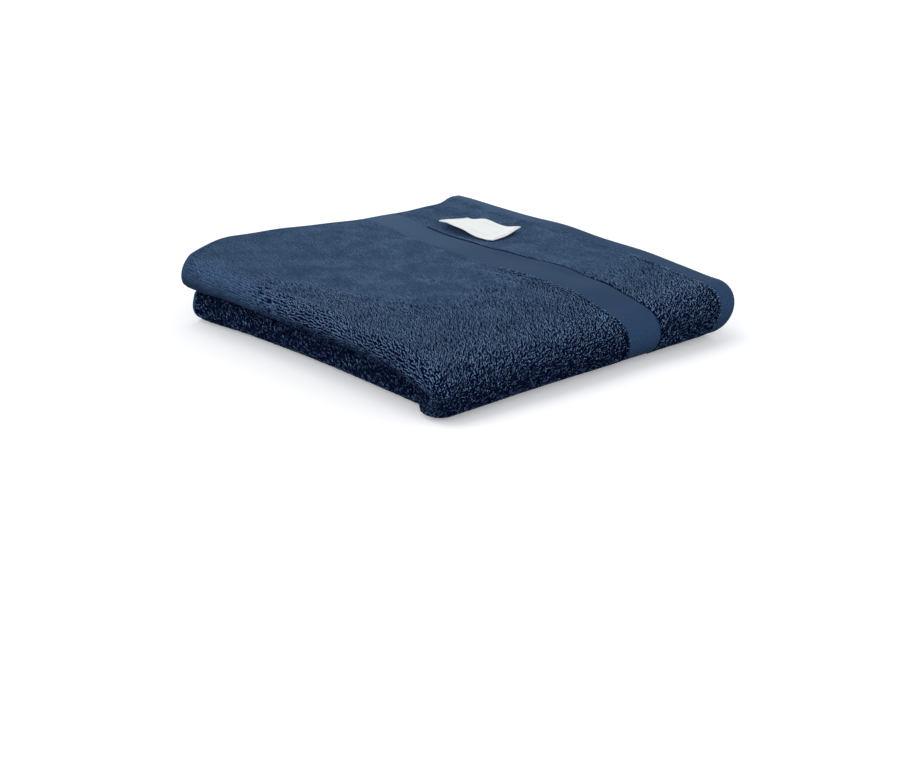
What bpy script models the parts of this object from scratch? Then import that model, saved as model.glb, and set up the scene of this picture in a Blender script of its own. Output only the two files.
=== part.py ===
"""A terry hand towel, folded in half twice across its length and once along it, with a sewn label.

The towel is cut flat as one slab, with its hems and flat woven bands thinner than the terry,
and every point of it is then carried through the folds. Metres, +Z up. The origin is at the
bottom centre, +X runs to the hem end, and the long bend lies at -Y.
"""

import math

import bmesh
import bpy
from mathutils import Matrix

# The cloth as it is cut
TOWEL_LENGTH = 0.90
TOWEL_WIDTH = 0.50
TERRY_THICK = 0.00385  # ground weave with loops on both faces
LAYER_PITCH = 0.00435  # from one layer of the folded stack to the next

# Flat woven zones at each end, measured from the hem
HEM_DEPTH = 0.0125
HEM_THICK = 0.0026
BAND_START = 0.067
BAND_DEPTH = 0.026
BAND_THICK = 0.0028
ZONE_STEP = 0.002  # over which the terry rises from a flat zone

# The folds
LABEL_PANEL = 0.2198  # front fold's centre to either hem
OUTER_LEVEL = 3.5  # height of the label panel over the bend's inner face, in pitches
FOLD_LEVEL = 2.0  # height of the front fold's centre, in pitches
HEM_SLIP = 0.003  # how far the panels under the label panel have slid back
BEND_EASE = 0.85  # share of the inner layers' shorter way round that is taken up in creases
EDGE_DRIFT = 0.0015  # how unevenly the long edges meet
DRIFT_PERIOD = 0.39  # length of cloth over which they wander out and back
DRIFT_PHASE = 0.8

# How the folded stack has settled: local rises of its height, as shares of it
HEAPS = (
    # x, y, reach_x, reach_y, rise
    (-0.070, 0.125, 0.080, 0.080, 0.24),  # corner where the layers lie loosest
    (-0.010, -0.040, 0.110, 0.038, 0.07),  # hump beside the long bend
    (0.060, 0.085, 0.100, 0.050, 0.08),  # under the label
    (0.107, 0.118, 0.014, 0.024, 0.05),  # lifted hem corner
    (0.115, 0.020, 0.030, 0.045, 0.04),  # middle of the hem
    (0.052, 0.066, 0.026, 0.034, -0.055),  # hollow between the label and the band
)
SLUMP = 0.19  # share of its height that the long bend has lost
SLUMP_Y = (-0.074, -0.112)  # over which it sinks
SLUMP_AT_HEM = 0.40  # share of the slump that is left at the hem end
CORNER_DRAW = 0.010  # how far the loose corner is rounded off, and over which x and y
CORNER_X = (-0.070, -0.115)
CORNER_Y = (0.060, 0.120)
HEM_FLARE = 0.006  # how far the hem's end stands out past the selvedge beside it
FLARE_X = (0.088, 0.110)
FLARE_Y = (0.050, 0.120)
FLARE_SHARE = (0.56, 0.96)  # of the height: only the top layers stand out
LOWER_TUCK = 0.0075  # how far the lower front roll lies behind the upper one
TUCK_SHARE = (0.62, 0.36)  # of the height, over which it steps back
TUCK_Y = (-0.104, -0.090)  # and the corner beside the long bend, where it comes forward again
LOOSE_TUCK = 0.7  # share of the tuck that is left at the loose corner
HEM_TUCK = 0.005  # how far the hem draws back round the long bend
HEM_UNDERCUT = 0.013  # and how much further it does so below
CREASE_SAG = 0.10  # how far the front crease drops towards the long bend, as a share of the height
LOOSE_SAG = 0.06  # and towards the loose corner
SIDE_WAVE = 0.0012  # unevenness of the front fold and the hem
SIDE_WAVE_LENGTH = 0.20

# Where the stack counts as being near one of its sides
FRONT_X = (-0.02, -0.12)
HEM_X = (0.02, 0.12)
BEND_Y = (-0.03, -0.12)

# The label
LABEL_LENGTH = 0.048  # along the hem
LABEL_WIDTH = 0.025
LABEL_THICK = 0.0010
LABEL_STATION = 0.0460  # its middle, from the hem
LABEL_ACROSS = 0.0660  # its middle, from the upper selvedge
LABEL_TILT = math.radians(3)
LABEL_LIFT = 0.0006  # clear of the loops under it
LABEL_BOW = 0.0012  # how far its edge towards the band stands up
LABEL_BOW_SHIFT = 0.15  # of its length, from its middle to where it stands highest
LABEL_TWIST = 0.0009  # how far two of its corners, across from each other, stand up
LABEL_CUTS = (6, 12)

# Cuts that let the slab bend: x over a panel, and places across from the selvedge
PANEL_CUTS = (0.011, 0.026, 0.050, 0.090)
OUTER_TURN_CUTS = 8
INNER_TURN_CUTS = 4
HALF_CUTS = (0.0, 0.040, 0.080, 0.120, 0.155, 0.180, 0.194, 0.205, 0.2155, 0.226)
BEND_CUTS = 8

HALF_STACK = OUTER_LEVEL * LAYER_PITCH + TERRY_THICK / 2
FRONT_REACH = (OUTER_LEVEL - FOLD_LEVEL) * LAYER_PITCH + TERRY_THICK / 2
BEND_HALF_ARC = math.pi / 2 * OUTER_LEVEL * LAYER_PITCH
CENTRE_X = (LABEL_PANEL - FRONT_REACH) / 2
CENTRE_Y = (TOWEL_WIDTH / 2 - BEND_HALF_ARC - HALF_STACK) / 2


def ramp(value, limits):
    """0 before the first limit, 1 past the second, and an even S between."""
    start, end = limits
    share = min(max((value - start) / (end - start), 0.0), 1.0)
    return share * share * (3 - 2 * share)


def spread(start, end, cuts):
    """Even steps from start up to, and without, end."""
    return [start + (end - start) * i / cuts for i in range(cuts)]


def zone_edges():
    """Where the flat woven zones begin and end, from a hem, and the middle of the terry between."""
    band_end = BAND_START + BAND_DEPTH
    terry_middle = (HEM_DEPTH + BAND_START) / 2
    return (
        HEM_DEPTH,
        HEM_DEPTH + ZONE_STEP,
        terry_middle,
        BAND_START - ZONE_STEP,
        BAND_START,
        band_end,
        band_end + ZONE_STEP,
    )


def run(start, end, level, face_up):
    """A flat leg of the crosswise-folded section, from x start to x end.

    Every panel is cut at the same x, so that the facets of the layers lie parallel."""
    length = abs(end - start)
    shared = PANEL_CUTS + tuple(LABEL_PANEL - edge for edge in zone_edges())
    cuts = [abs(x - start) for x in shared if min(start, end) < x < max(start, end)]

    def place(along, offset):
        x = start + (end - start) * along / length
        return x, level * LAYER_PITCH + (offset if face_up else -offset)

    return length, sorted([0.0, *cuts]), place


def turn(x, level, radius, first, sweep, face_out, cuts):
    """A round leg about (x, level), from the angle first through sweep, in degrees."""
    length = radius * LAYER_PITCH * math.radians(abs(sweep))

    def place(along, offset):
        angle = math.radians(first + sweep * along / length)
        reach = radius * LAYER_PITCH + (offset if face_out else -offset)
        return x + reach * math.cos(angle), level * LAYER_PITCH + reach * math.sin(angle)

    return length, spread(0.0, length, cuts), place


def section_legs():
    """The crosswise folds, from the label hem to the other hem: (length, cuts, place) of each leg."""
    label_level, hem_level, second_level, tucked_level = (OUTER_LEVEL - i for i in range(4))
    outer, inner = label_level - FOLD_LEVEL, hem_level - FOLD_LEVEL
    hem_end = (second_level - tucked_level) / 2
    turns = math.pi * LAYER_PITCH * (outer + hem_end + inner)
    tucked_panel = (TOWEL_LENGTH - turns) / 2 - LABEL_PANEL
    return (
        run(LABEL_PANEL, 0.0, label_level, True),
        turn(0.0, FOLD_LEVEL, outer, 90, 180, True, OUTER_TURN_CUTS),
        run(0.0, tucked_panel, tucked_level, False),
        turn(tucked_panel, tucked_level + hem_end, hem_end, -90, 180, True, INNER_TURN_CUTS),
        run(tucked_panel, 0.0, second_level, True),
        turn(0.0, FOLD_LEVEL, inner, 270, -180, False, INNER_TURN_CUTS),
        run(0.0, LABEL_PANEL, hem_level, False),
    )


LEGS = section_legs()


def crosswise(station, offset):
    """x and level of a point at station along the cloth, offset out of its label face."""
    for length, _, place in LEGS:
        if station <= length or place is LEGS[-1][2]:
            break
        station -= length
    x, level = place(station, offset)
    under = ramp(level / LAYER_PITCH, (OUTER_LEVEL, OUTER_LEVEL - 1))
    slip = HEM_SLIP * under * ramp(x, (0.0, LABEL_PANEL))
    return x - slip, level


def lengthwise(across, station, level):
    """y and z of a point at across from the upper selvedge, in a section level above the bend."""
    drift = EDGE_DRIFT * math.sin(2 * math.pi * station / DRIFT_PERIOD + DRIFT_PHASE)
    reach = across - TOWEL_WIDTH / 2 + drift
    inside = max(OUTER_LEVEL * LAYER_PITCH - level, 0.0)
    half_arc = BEND_HALF_ARC - math.pi / 2 * (1 - BEND_EASE) * inside
    if abs(reach) >= half_arc:
        return abs(reach) - half_arc, math.copysign(level, -reach)
    angle = -reach / half_arc * math.pi / 2
    return -level * math.cos(angle), level * math.sin(angle)


def heap_rise(x, y):
    """Share by which the stack is higher at x, y than where it lies flat."""
    rise = 0.0
    for at_x, at_y, reach_x, reach_y, heap in HEAPS:
        rise += heap * math.exp(-(((x - at_x) / reach_x) ** 2) - ((y - at_y) / reach_y) ** 2)
    return rise


def settle(x, y, z):
    """The stack's own weight and handling, which move the neatly folded cloth."""
    stack = 2 * HALF_STACK
    share = z / stack
    near_front, near_hem, near_bend = ramp(x, FRONT_X), ramp(x, HEM_X), ramp(y, BEND_Y)
    loose = ramp(x, CORNER_X) * ramp(y, CORNER_Y)

    slump = SLUMP * ramp(y, SLUMP_Y) * (1 - (1 - SLUMP_AT_HEM) * near_hem)
    sag = (CREASE_SAG * near_front * near_bend + LOOSE_SAG * loose) * 4 * share * (1 - share)
    height = z * (1 + heap_rise(x, y) * ramp(share, (-0.25, 0.75))) * (1 - slump) - sag * stack

    below = ramp(share, TUCK_SHARE) * ramp(y, TUCK_Y) * (1 - (1 - LOOSE_TUCK) * loose)
    tuck = LOWER_TUCK * near_front * below
    draw = near_hem * near_bend * (HEM_TUCK + HEM_UNDERCUT * (1 - share) ** 2)
    wave = SIDE_WAVE * math.sin(2 * math.pi * y / SIDE_WAVE_LENGTH + 1.3) * (near_front - near_hem)
    round_off = CORNER_DRAW * loose
    flare = HEM_FLARE * ramp(x, FLARE_X) * ramp(y, FLARE_Y) * ramp(share, FLARE_SHARE)
    return x + tuck - draw + wave, y - round_off + flare, height


def terry_share(station):
    """Thickness of the cloth at a station, as a share of the full terry."""
    station = min(station, TOWEL_LENGTH - station)
    hem = ramp(station, (HEM_DEPTH + ZONE_STEP, HEM_DEPTH))
    beside_band = abs(station - BAND_START - BAND_DEPTH / 2) - BAND_DEPTH / 2
    band = ramp(beside_band, (ZONE_STEP, 0.0))
    lost = hem * (TERRY_THICK - HEM_THICK) + band * (TERRY_THICK - BAND_THICK)
    return 1 - lost / TERRY_THICK


def fold(station, across, offset):
    """A point of the flat cloth, carried through every fold."""
    x, level = crosswise(station, offset)
    y, z = lengthwise(across, station, level)
    return settle(x - CENTRE_X, y - CENTRE_Y, z + HALF_STACK)


def station_cuts():
    """Where the slab is cut along its length, so that it can follow every leg."""
    cuts, start = [], 0.0
    for length, leg_cuts, _ in LEGS:
        cuts += [start + cut for cut in leg_cuts]
        start += length
    return cuts + [TOWEL_LENGTH]


def across_cuts():
    """Where the slab is cut from selvedge to selvedge, closest round the long bend."""
    bend = spread(HALF_CUTS[-1], TOWEL_WIDTH - HALF_CUTS[-1], BEND_CUTS)
    return list(HALF_CUTS[:-1]) + bend + [TOWEL_WIDTH - cut for cut in reversed(HALF_CUTS)]


def material(name, colour, roughness):
    """A plain finish in the piece's own colour."""
    made = bpy.data.materials.new(name)
    made.use_nodes = True
    shader = made.node_tree.nodes["Principled BSDF"]
    shader.inputs["Base Color"].default_value = (*colour, 1.0)
    shader.inputs["Roughness"].default_value = roughness
    shader.inputs["Metallic"].default_value = 0.0
    return made


def slab(name, rows, columns, thickness, collection):
    """A flat slab cut at the given rows and columns, as an object."""
    mesh = bpy.data.meshes.new(name)
    sheet = bmesh.new()
    bmesh.ops.create_grid(sheet, x_segments=len(rows) - 1, y_segments=len(columns) - 1, size=0.5)
    for vertex in sheet.verts:
        row = round((vertex.co.x + 0.5) * (len(rows) - 1))
        column = round((vertex.co.y + 0.5) * (len(columns) - 1))
        vertex.co = (rows[row], columns[column], 0.0)
    sheet.to_mesh(mesh)
    sheet.free()
    made = bpy.data.objects.new(name, mesh)
    collection.objects.link(made)
    solidify = made.modifiers.new("thickness", "SOLIDIFY")
    solidify.thickness = thickness
    solidify.offset = 0.0
    evaluated = made.evaluated_get(bpy.context.evaluated_depsgraph_get())
    made.data = bpy.data.meshes.new_from_object(evaluated)
    made.modifiers.clear()
    return made


def reshape(made, rule):
    """Carries every point of an object's mesh by rule, and turns its faces outwards."""
    shape = bmesh.new()
    shape.from_mesh(made.data)
    for vertex in shape.verts:
        vertex.co = rule(*vertex.co)
    bmesh.ops.recalc_face_normals(shape, faces=shape.faces)
    if shape.calc_volume(signed=True) < 0:
        bmesh.ops.reverse_faces(shape, faces=shape.faces)
    shape.to_mesh(made.data)
    shape.free()
    made.data.shade_smooth()
    made.data.set_sharp_from_angle(angle=math.radians(50))


def build_towel(collection):
    towel = slab("towel", station_cuts(), across_cuts(), TERRY_THICK, collection)
    towel.data.materials.append(material("navy cotton terry", (0.035, 0.065, 0.130), 0.9))
    reshape(towel, lambda s, a, n: fold(s, a, n * terry_share(s)))
    return towel


def build_label(collection):
    """The woven label, which lies on the loops and follows the cloth under it."""
    rows = spread(-LABEL_WIDTH / 2, LABEL_WIDTH / 2, LABEL_CUTS[0]) + [LABEL_WIDTH / 2]
    columns = spread(-LABEL_LENGTH / 2, LABEL_LENGTH / 2, LABEL_CUTS[1]) + [LABEL_LENGTH / 2]
    label = slab("label", rows, columns, LABEL_THICK, collection)
    label.data.materials.append(material("off-white woven tape", (0.80, 0.81, 0.80), 0.7))

    def lay(u, v, n):
        station = LABEL_STATION + u * math.cos(LABEL_TILT) - v * math.sin(LABEL_TILT)
        across = LABEL_ACROSS + u * math.sin(LABEL_TILT) + v * math.cos(LABEL_TILT)
        hump = math.cos(math.pi * (v / LABEL_LENGTH + LABEL_BOW_SHIFT)) ** 2
        bow = LABEL_BOW * (0.5 + u / LABEL_WIDTH) * hump
        twist = LABEL_TWIST * (0.5 - 2 * u * v / (LABEL_WIDTH * LABEL_LENGTH))
        lift = TERRY_THICK / 2 + LABEL_LIFT + LABEL_THICK / 2 + bow + twist
        return fold(station, across, n + lift)

    reshape(label, lay)
    return label


def stand_at_origin(pieces):
    """Moves the pieces together, so that the origin is at the bottom centre of their bounds."""
    points = [vertex.co for piece in pieces for vertex in piece.data.vertices]
    middle = [(min(p[i] for p in points) + max(p[i] for p in points)) / 2 for i in range(2)]
    shift = Matrix.Translation((-middle[0], -middle[1], 0.0))
    for piece in pieces:
        piece.data.transform(shift)


def clear_scene():
    for old in list(bpy.data.objects):
        bpy.data.objects.remove(old, do_unlink=True)


def main():
    clear_scene()
    collection = bpy.data.collections.new("hand towel")
    bpy.context.scene.collection.children.link(collection)
    stand_at_origin([build_towel(collection), build_label(collection)])


main()
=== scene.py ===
import math

import bpy
import numpy as np
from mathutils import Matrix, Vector


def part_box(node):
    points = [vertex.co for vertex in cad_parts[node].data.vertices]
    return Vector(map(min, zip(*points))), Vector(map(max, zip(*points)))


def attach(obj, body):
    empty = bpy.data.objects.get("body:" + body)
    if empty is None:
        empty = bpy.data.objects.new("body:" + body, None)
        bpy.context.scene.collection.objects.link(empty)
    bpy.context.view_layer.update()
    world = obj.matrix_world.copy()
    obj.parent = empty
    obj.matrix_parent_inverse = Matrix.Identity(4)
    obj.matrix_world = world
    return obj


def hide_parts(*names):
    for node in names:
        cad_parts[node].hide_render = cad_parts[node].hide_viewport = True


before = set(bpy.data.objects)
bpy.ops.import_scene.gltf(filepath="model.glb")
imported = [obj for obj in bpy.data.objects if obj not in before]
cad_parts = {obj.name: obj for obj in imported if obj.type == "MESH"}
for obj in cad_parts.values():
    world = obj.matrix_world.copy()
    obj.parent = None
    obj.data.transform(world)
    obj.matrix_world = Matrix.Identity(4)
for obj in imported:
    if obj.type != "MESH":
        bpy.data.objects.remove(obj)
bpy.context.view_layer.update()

mm = 0.001
dice = np.random.default_rng(41)


def toLinear(hexColour, alpha=1.0):
    parts = [int(hexColour[i : i + 2], 16) / 255 for i in (0, 2, 4)]
    return tuple(c / 12.92 if c <= 0.04045 else ((c + 0.055) / 1.055) ** 2.4 for c in parts) + (alpha,)


def addNode(tree, kind, inputs=None, **settings):
    node = tree.nodes.new(kind)
    for key, value in settings.items():
        setattr(node, key, value)
    for socket, value in (inputs or {}).items():
        if isinstance(value, bpy.types.NodeSocket):
            tree.links.new(value, node.inputs[socket])
        else:
            node.inputs[socket].default_value = value
    return node


def newMaterial(name):
    made = bpy.data.materials.new(name)
    made.use_nodes = True
    made.node_tree.nodes.clear()
    return made, made.node_tree


def closeMaterial(tree, shader):
    addNode(tree, "ShaderNodeOutputMaterial", {"Surface": shader.outputs[0]})


def setRamp(node, stops):  # (position, hex colour) pairs
    elements = node.color_ramp.elements
    while len(elements) < len(stops):
        elements.new(0.5)
    for element, (position, colour) in zip(elements, stops):
        element.position, element.color = position, toLinear(colour)


def ramp(value, start, end):  # 0 before start, 1 past end, an even S between
    share = np.clip((value - start) / (end - start), 0.0, 1.0)
    return share * share * (3 - 2 * share)


def blend(first, second, share):
    return first + (second - first) * share


def humps(rows, x, y):  # rounded rises; a row has the two places, the two reaches and the height
    return sum(height * np.exp(-(((x - atX) / reachX) ** 2) - ((y - atY) / reachY) ** 2)
               for atX, atY, reachX, reachY, height in rows)


# soft unevenness, mostly between -1 and 1, from waves that cross one another; each is about size long
def drift(station, across, size, seed):
    waves, count = np.random.default_rng(seed), 7
    total = np.zeros_like(np.asarray(station, dtype=float))
    for turn in np.linspace(0, math.pi, count, endpoint=False) + waves.uniform(0, 0.4, count):
        reach = size * waves.uniform(0.7, 1.5)
        phase = waves.uniform(0, 2 * math.pi)
        along = station * math.cos(turn) + across * math.sin(turn)
        total += np.sin(2 * math.pi * along / reach + phase)
    return total / 4


# the cloth and its folds, as the solids have them: a place on the flat cloth is its station, along
# from the hem, and across, from the selvedge that ends up on top
cloth = {
    "length": 0.90,
    "width": 0.50,
    "terryThick": 3.85 * mm,
    "layerPitch": 4.35 * mm,
    "hemDepth": 12.5 * mm,
    "hemThick": 2.6 * mm,
    "bandStart": 67 * mm,
    "bandDepth": 26 * mm,
    "bandThick": 2.8 * mm,
}

folds = {
    "labelPanel": 219.8 * mm,
    "outerLevel": 3.5,  # of layer pitches over the long bend's inner face
    "foldLevel": 2.0,
    "hemSlip": 3 * mm,
    "bendEase": 0.85,
    "edgeDrift": 1.5 * mm,
    "driftPeriod": 390 * mm,
    "driftPhase": 0.8,
}

settling = {
    "heaps": [  # x, y, reach in x, reach in y, rise as a share of the height
        (-0.070, 0.125, 0.080, 0.080, 0.24),
        (-0.010, -0.040, 0.110, 0.038, 0.07),
        (0.060, 0.085, 0.100, 0.050, 0.08),
        (0.107, 0.118, 0.014, 0.024, 0.05),
        (0.115, 0.020, 0.030, 0.045, 0.04),
        (0.052, 0.066, 0.026, 0.034, -0.055),
    ],
    "riseShare": (-0.25, 0.75),  # of the height, from where the heaps begin to where they are full
    "slump": 0.19,  # how much lower the long bend lies, as a share
    "slumpY": (-0.074, -0.112),
    "slumpAtHem": 0.40,
    "cornerDraw": 10 * mm,  # the loose corner, where front fold and selvedges meet, is drawn in
    "cornerX": (-0.070, -0.115),
    "cornerY": (0.060, 0.120),
    "hemFlare": 6 * mm,  # the upper hem corner stands out past the selvedges
    "flareX": (0.088, 0.110),
    "flareY": (0.050, 0.120),
    "flareShare": (0.56, 0.96),
    "lowerTuck": 7.5 * mm,  # the lower front roll is set back
    "tuckShare": (0.62, 0.36),
    "tuckY": (-0.104, -0.090),
    "looseTuck": 0.7,
    "hemTuck": 5 * mm,
    "hemUndercut": 13 * mm,
    "creaseSag": 0.10,
    "looseSag": 0.06,
    "sideWave": 1.2 * mm,
    "sideWaveLength": 0.20,
    "sideWavePhase": 1.3,
    "frontX": (-0.02, -0.12),
    "hemX": (0.02, 0.12),
    "bendY": (-0.03, -0.12),
}

creases = {
    "lines": [  # from and to (station, across), reach and rise in mm; troughs are below 0
        ((66.5, 90), (66.5, 150), 1.0, -0.5),  # where the band's far edge meets the terry
        ((66.5, 140), (66.5, 262), 1.0, -0.8),
        ((62.5, 112), (63, 168), 8.0, 1.5),  # the terry's raised edge beside the band
        ((62.0, 170), (62.0, 250), 3.0, 0.45),
        ((58, 46), (60, 84), 5.0, -1.2),  # under the label's raised edge
        ((31, 40), (35, 44), 8.0, -1.5),  # under its far corner
        ((50, 100), (60, 148), 4.0, 0.4),
        ((104, 130), (98, 158), 4.0, -0.8),
        ((108, 160), (101, 196), 5.0, -0.7),
        ((118, 120), (126, 190), 9.0, 0.6),
        ((93, 82), (95, 95), 2.2, -0.8),
        ((97, 60), (104, 100), 6.0, 0.5),
        ((152, 62), (168, 72), 6.0, -0.7),
        ((140, 70), (182, 98), 11.0, 0.5),
        ((207, 90), (221, 114), 2.6, -0.8),  # nick behind the front fold
        ((196, 128), (222, 150), 7.0, 0.4),
        ((140, 120), (142, 134), 3.0, -0.6),
        ((184, 190), (210, 236), 8.0, -0.5),
        ((30, 190), (52, 226), 5.0, -0.7),  # ruffled terry beside the hem
        ((22, 214), (36, 240), 4.0, 0.6),
    ],
    "heaves": [  # station, across, reaches and rise in mm, of the top layer and its hem
        (4, 98, 30, 26, 1.6),
        (4, 200, 34, 27, -1.7),
        (0, 236, 16, 10, 0.8),
        (200, 8, 30, 24, 1.2),
    ],
    "lineFrom": (8 * mm, 18 * mm),  # station, where the lines begin and where they are full
    "lastPanel": 6 * mm,  # both fade out this near the front fold
    "lastAcross": (275 * mm, 245 * mm),  # and past the long bend
    "swell": 0.3 * mm,
    "swellSize": 46 * mm,
    "skew": 5.5 * mm,  # how far the band is drawn towards the hem where it meets the upper selvedge
    "skewAcross": (48 * mm, 0.0),
    "skewBefore": (14 * mm, 58 * mm),  # station, from nothing to full, and from full back to nothing
    "skewPast": (150 * mm, 96 * mm),
}

pitch = cloth["layerPitch"]
terryHalf = cloth["terryThick"] / 2
halfStack = folds["outerLevel"] * pitch + terryHalf
frontReach = (folds["outerLevel"] - folds["foldLevel"]) * pitch + terryHalf
bendArc = math.pi / 2 * folds["outerLevel"] * pitch  # half of the long bend's arc, at the label panel
centreX = (folds["labelPanel"] - frontReach) / 2
centreY = (cloth["width"] / 2 - bendArc - halfStack) / 2


def flatLeg(start, end, level, faceUp):
    length = abs(end - start)

    def place(along, offset):
        return start + (end - start) * along / length, level * pitch + (offset if faceUp else -offset)

    return length, place


def roundLeg(x, level, radius, first, sweep, faceOut):
    length = radius * pitch * math.radians(abs(sweep))

    def place(along, offset):
        angle = np.radians(first + sweep * along / length)
        reach = radius * pitch + (offset if faceOut else -offset)
        return x + reach * np.cos(angle), level * pitch + reach * np.sin(angle)

    return length, place


def foldSection():  # the crosswise folds, from the label hem to the other hem
    label, hem, second, tucked = (folds["outerLevel"] - i for i in range(4))
    middle = folds["foldLevel"]
    outer, inner, small = label - middle, hem - middle, (second - tucked) / 2
    panel = (cloth["length"] - math.pi * pitch * (outer + small + inner)) / 2 - folds["labelPanel"]
    return [
        flatLeg(folds["labelPanel"], 0.0, label, True),
        roundLeg(0.0, middle, outer, 90, 180, True),
        flatLeg(0.0, panel, tucked, False),
        roundLeg(panel, tucked + small, small, -90, 180, True),
        flatLeg(panel, 0.0, second, True),
        roundLeg(0.0, middle, inner, 270, -180, False),
        flatLeg(0.0, folds["labelPanel"], hem, False),
    ]


legs = foldSection()
legStarts = np.concatenate([[0.0], np.cumsum([length for length, _ in legs])])
panelEnd, rollEnd, innerFold = legStarts[1], legStarts[2], (legStarts[3], legStarts[4])
turns = (1, 3, 5)  # which of the legs go round
outerEnd = rollEnd + 8 * mm  # as far as the cloth's outer face can be seen underneath


def crosswise(station, offset):
    x, level = np.zeros_like(station), np.zeros_like(station)
    leg = np.clip(np.searchsorted(legStarts, station, side="right") - 1, 0, len(legs) - 1)
    for i, (_, place) in enumerate(legs):
        here = leg == i
        x[here], level[here] = place(station[here] - legStarts[i], offset[here])
    under = ramp(level / pitch, folds["outerLevel"], folds["outerLevel"] - 1)
    return x - folds["hemSlip"] * under * ramp(x, 0.0, folds["labelPanel"]), level


def lengthwise(across, station, level):
    turn = 2 * math.pi * station / folds["driftPeriod"] + folds["driftPhase"]
    reach = across - cloth["width"] / 2 + folds["edgeDrift"] * np.sin(turn)
    inside = np.maximum(folds["outerLevel"] * pitch - level, 0.0)
    arc = bendArc - math.pi / 2 * (1 - folds["bendEase"]) * inside
    angle = -reach / arc * math.pi / 2
    flat = np.abs(reach) >= arc
    y = np.where(flat, np.abs(reach) - arc, -level * np.cos(angle))
    z = np.where(flat, np.copysign(level, -reach), level * np.sin(angle))
    return y, z


def settle(x, y, z):
    s = settling
    share = z / (2 * halfStack)
    nearFront, nearHem, nearBend = ramp(x, *s["frontX"]), ramp(x, *s["hemX"]), ramp(y, *s["bendY"])
    loose = ramp(x, *s["cornerX"]) * ramp(y, *s["cornerY"])
    rise = humps(s["heaps"], x, y) * ramp(share, *s["riseShare"])
    slump = s["slump"] * ramp(y, *s["slumpY"]) * blend(1, s["slumpAtHem"], nearHem)
    sag = (s["creaseSag"] * nearFront * nearBend + s["looseSag"] * loose) * 4 * share * (1 - share)
    height = z * (1 + rise) * (1 - slump) - sag * 2 * halfStack

    below = ramp(share, *s["tuckShare"]) * ramp(y, *s["tuckY"]) * blend(1, s["looseTuck"], loose)
    tuck = s["lowerTuck"] * nearFront * below
    draw = nearHem * nearBend * (s["hemTuck"] + s["hemUndercut"] * (1 - share) ** 2)
    wave = np.sin(2 * math.pi * y / s["sideWaveLength"] + s["sideWavePhase"])
    wave = s["sideWave"] * wave * (nearFront - nearHem)
    flare = s["hemFlare"] * ramp(x, *s["flareX"]) * ramp(y, *s["flareY"]) * ramp(share, *s["flareShare"])
    return x + tuck - draw + wave, y - s["cornerDraw"] * loose + flare, height


def foldFlat(station, across, offset):  # points of the flat cloth, carried through every fold
    x, level = crosswise(station, offset)
    y, z = lengthwise(across, station, level)
    return np.stack(settle(x - centreX, y - centreY, z + halfStack), axis=-1)


def originShift():  # from where the folds put the cloth to where its solid lies
    s, a = np.meshgrid(np.linspace(0, cloth["length"], 500), np.linspace(0, cloth["width"], 300))
    s, a = s.ravel(), a.ravel()
    points = np.concatenate([foldFlat(s, a, np.full(s.size, n)) for n in (-terryHalf, terryHalf)])
    low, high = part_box("towel")
    middle = (points.min(axis=0) + points.max(axis=0)) / 2
    return np.array([(low[0] + high[0]) / 2 - middle[0], (low[1] + high[1]) / 2 - middle[1], 0.0])


shift = originShift()


def creaseRise(station, across):  # the small troughs and ridges of the top layer
    rise = creases["swell"] * drift(station, across, creases["swellSize"], seed=17)
    for start, end, reach, height in creases["lines"]:
        (s0, a0), (s1, a1) = np.array(start) * mm, np.array(end) * mm
        ds, da = s1 - s0, a1 - a0
        share = np.clip(((station - s0) * ds + (across - a0) * da) / (ds**2 + da**2), 0, 1)
        away = np.hypot(station - s0 - share * ds, across - a0 - share * da)
        rise = rise + height * mm * np.exp(-((away / (reach * mm)) ** 2))
    rise = rise * ramp(station, *creases["lineFrom"])
    rise = rise + humps(creases["heaves"], station / mm, across / mm) * mm
    onPanel = ramp(station, panelEnd + creases["lastPanel"], panelEnd - creases["lastPanel"])
    return rise * onPanel * ramp(across, *creases["lastAcross"])


def skewed(station, across):  # where a thread lies on the flat cloth once it has been pulled askew
    near = ramp(station, *creases["skewBefore"]) * ramp(station, *creases["skewPast"])
    return station - creases["skew"] * near * ramp(across, *creases["skewAcross"])


def foldCloth(station, across, offset):  # points of the creased cloth, folded, where its solid lies
    spots = np.broadcast_arrays(station, across, offset)
    station, across, offset = (g.ravel().astype(float) for g in spots)
    points = foldFlat(skewed(station, across), across, offset + creaseRise(station, across)) + shift
    points[:, 2] = np.maximum(points[:, 2], 0.0)  # pressed flat where it lies on the floor
    return points


def meshFrom(name, points, corners, perFace, uv=None, tone=None):  # faces that all have perFace corners
    mesh = bpy.data.meshes.new(name)
    corners = np.asarray(corners, dtype=np.int32).ravel()
    mesh.vertices.add(len(points))
    mesh.vertices.foreach_set("co", np.asarray(points, dtype=np.float32).ravel())
    mesh.loops.add(len(corners))
    mesh.loops.foreach_set("vertex_index", corners)
    mesh.polygons.add(len(corners) // perFace)
    mesh.polygons.foreach_set("loop_start", np.arange(0, len(corners), perFace, dtype=np.int32))
    mesh.update(calc_edges=True)
    if uv is not None:
        layer = mesh.uv_layers.new(name="cloth")
        layer.data.foreach_set("uv", np.asarray(uv, dtype=np.float32)[corners].ravel())
    if tone is not None:
        values = mesh.attributes.new("tone", "FLOAT", "POINT").data
        values.foreach_set("value", np.asarray(tone, dtype=np.float32))
    mesh.shade_smooth()
    made = bpy.data.objects.new(name, mesh)
    bpy.context.scene.collection.objects.link(made)
    return made


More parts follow.
